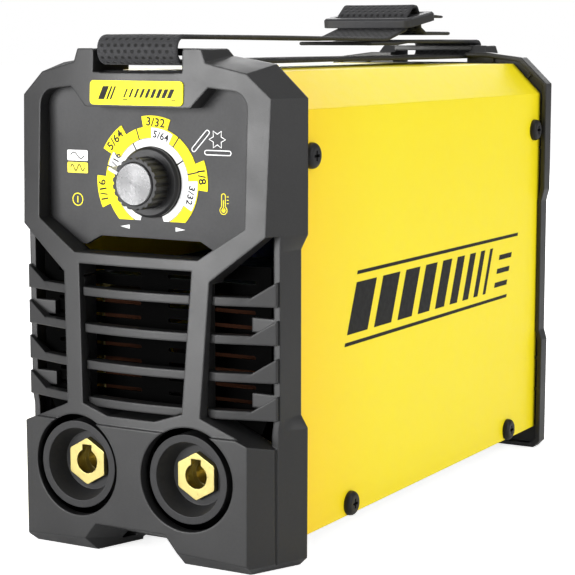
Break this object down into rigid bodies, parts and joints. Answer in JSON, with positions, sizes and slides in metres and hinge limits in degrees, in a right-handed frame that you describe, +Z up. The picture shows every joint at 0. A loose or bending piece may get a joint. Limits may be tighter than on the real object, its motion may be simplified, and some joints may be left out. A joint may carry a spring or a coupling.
{
  "type": "stick welder",
  "caption": "Small portable inverter stick welder: yellow sheet cover between black moulded end covers, current knob, two twist-lock sockets, carrying strap.",
  "frame": {"origin": "centre of the bounding box's bottom face, on the ground under the middle", "axes": "+Y runs front to back with the control panel facing -Y, +X to the machine's left as it faces you (viewer's right), +Z up"},
  "size_m": [0.1212, 0.2796, 0.2071],
  "materials": {
    "moulding": "fine moulded texture",
    "yellow_paint": "semi-gloss",
    "zinc_sheet": "zinc plated",
    "black_screw": "black oxide",
    "black_sheet": "matte",
    "zinc_screw": "zinc plated",
    "panel_plastic": "fine texture",
    "dial_print": "printed foil",
    "plate_print": "printed foil",
    "label_print": "printed foil",
    "lamp_lens": "clear",
    "board_laminate": "solder mask",
    "knob_plastic": "satin",
    "spun_aluminium": "spun",
    "pointer_white": "filled line",
    "shaft_steel": "turned",
    "pot_case": "plated",
    "insulator": "satin thermoset",
    "contact_brass": "turned",
    "bar_copper": "bare copper",
    "sink_aluminium": "extruded",
    "package_black": "moulded",
    "capacitor_sleeve": "shrink sleeve",
    "relay_case": "moulded",
    "winding_copper": "enamelled wire",
    "ferrite": "sintered",
    "fan_plastic": "moulded",
    "guard_plastic": "moulded",
    "switch_plastic": "moulded",
    "rocker_plastic": "moulded",
    "gland_plastic": "moulded",
    "webbing": "woven polypropylene webbing",
    "buckle_plastic": "moulded acetal"
  },
  "bodies": {
    "root": {"front_cover": "moulding", "louvre_grille": "moulding", "rear_cover": "moulding", "housing_cover": "yellow_paint", "base_tray": "zinc_sheet", "cover_screws": "black_screw", "tray_screws": "black_screw", "front_plate": "black_sheet", "front_plate_screws": "black_screw", "control_panel": "panel_plastic", "dial_scale": "dial_print", "range_marks": "plate_print", "label_plate": "label_print", "status_leds": "lamp_lens", "control_board": "board_laminate", "pot_body": "pot_case", "pot_nut": "zinc_screw", "socket_insulator_left": "insulator", "socket_insulator_right": "insulator", "socket_contact_left": "contact_brass", "socket_contact_right": "contact_brass", "socket_nuts": "contact_brass", "bus_bars": "bar_copper", "main_board": "board_laminate", "board_pillars": "contact_brass", "board_screws": "zinc_screw", "heatsink_left": "sink_aluminium", "heatsink_right": "sink_aluminium", "power_transistors": "package_black", "output_diodes": "package_black", "bulk_capacitors": "capacitor_sleeve", "bridge_rectifier": "package_black", "relay": "relay_case", "emi_choke": "winding_copper", "transformer_core": "ferrite", "transformer_winding": "winding_copper", "choke_core": "ferrite", "choke_winding": "winding_copper", "fan_frame": "fan_plastic", "fan_motor": "winding_copper", "fan_guard": "guard_plastic", "fan_screws": "black_screw", "switch_body": "switch_plastic", "cable_gland": "gland_plastic", "gland_nut": "gland_plastic", "carry_strap": "webbing", "strap_buckle": "buckle_plastic", "buckle_tab": "webbing"},
    "knob": {"knob_body": "knob_plastic", "knob_cap": "spun_aluminium", "knob_pointer": "pointer_white", "pot_shaft": "shaft_steel"},
    "switch": {"switch_rocker": "rocker_plastic"},
    "fan": {"fan_rotor": "fan_plastic"}
  },
  "joints": [
    {"name": "knob_turn", "type": "hinge", "parent": "root", "child": "knob", "pos_m": [0.0012, -0.13, 0.14], "axis": [0, 1, 0], "range_deg": [-70, 200]},
    {"name": "switch_tip", "type": "hinge", "parent": "root", "child": "switch", "pos_m": [-0.027, 0.1315, 0.142], "axis": [1, 0, 0], "range_deg": [-16, 0]},
    {"name": "fan_spin", "type": "hinge", "parent": "root", "child": "fan", "pos_m": [0, 0.118, 0.066], "axis": [0, 1, 0], "continuous": true}
  ]
}
